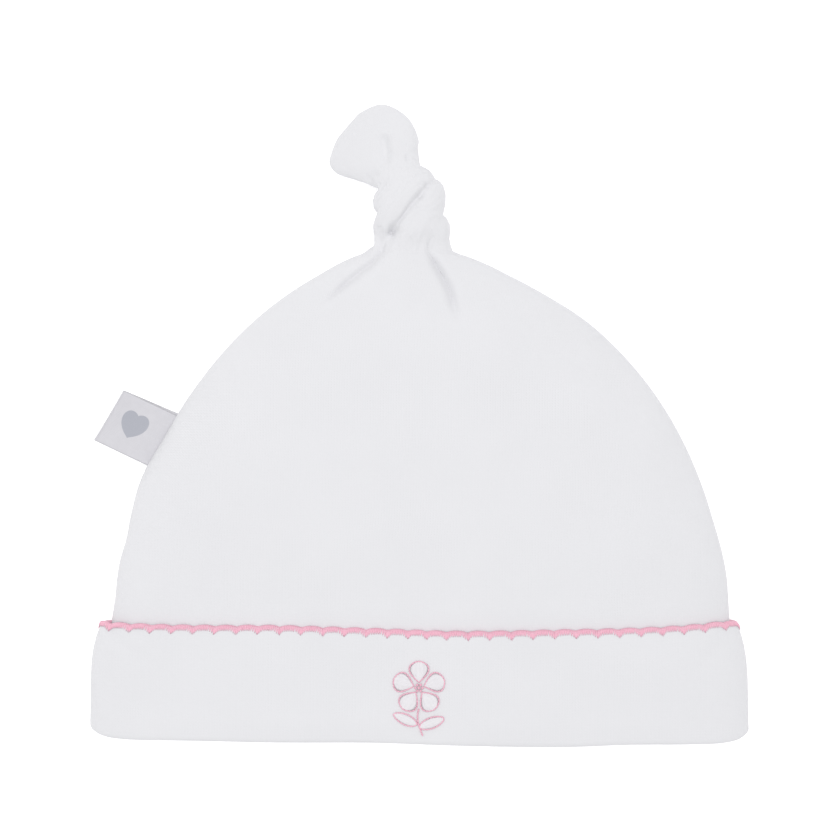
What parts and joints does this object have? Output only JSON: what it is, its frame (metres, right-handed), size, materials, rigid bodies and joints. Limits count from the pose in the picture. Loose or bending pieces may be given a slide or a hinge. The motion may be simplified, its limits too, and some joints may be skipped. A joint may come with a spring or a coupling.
{
  "type": "knotted newborn hat",
  "caption": "Soft cotton newborn hat lying flat, with a turned-up cuff, scalloped edging, a small side label and a knot tied in its tip.",
  "frame": {"origin": "on the surface the hat lies on, under the middle of its box", "axes": "+X to the wearer's left across the front panel, +Y up the hat from the mouth to the knotted tip, +Z out of the front panel"},
  "size_m": [0.165, 0.1616, 0.0164],
  "materials": {
    "jersey": "matt knitted cotton",
    "edging_thread": "soft stitched thread",
    "label_ribbon": "smooth woven ribbon"
  },
  "bodies": {
    "root": {"crown": "jersey", "cuff": "jersey", "knot": "jersey", "tail": "jersey", "scallop_trim": "edging_thread", "side_label": "label_ribbon"}
  },
  "joints": []
}
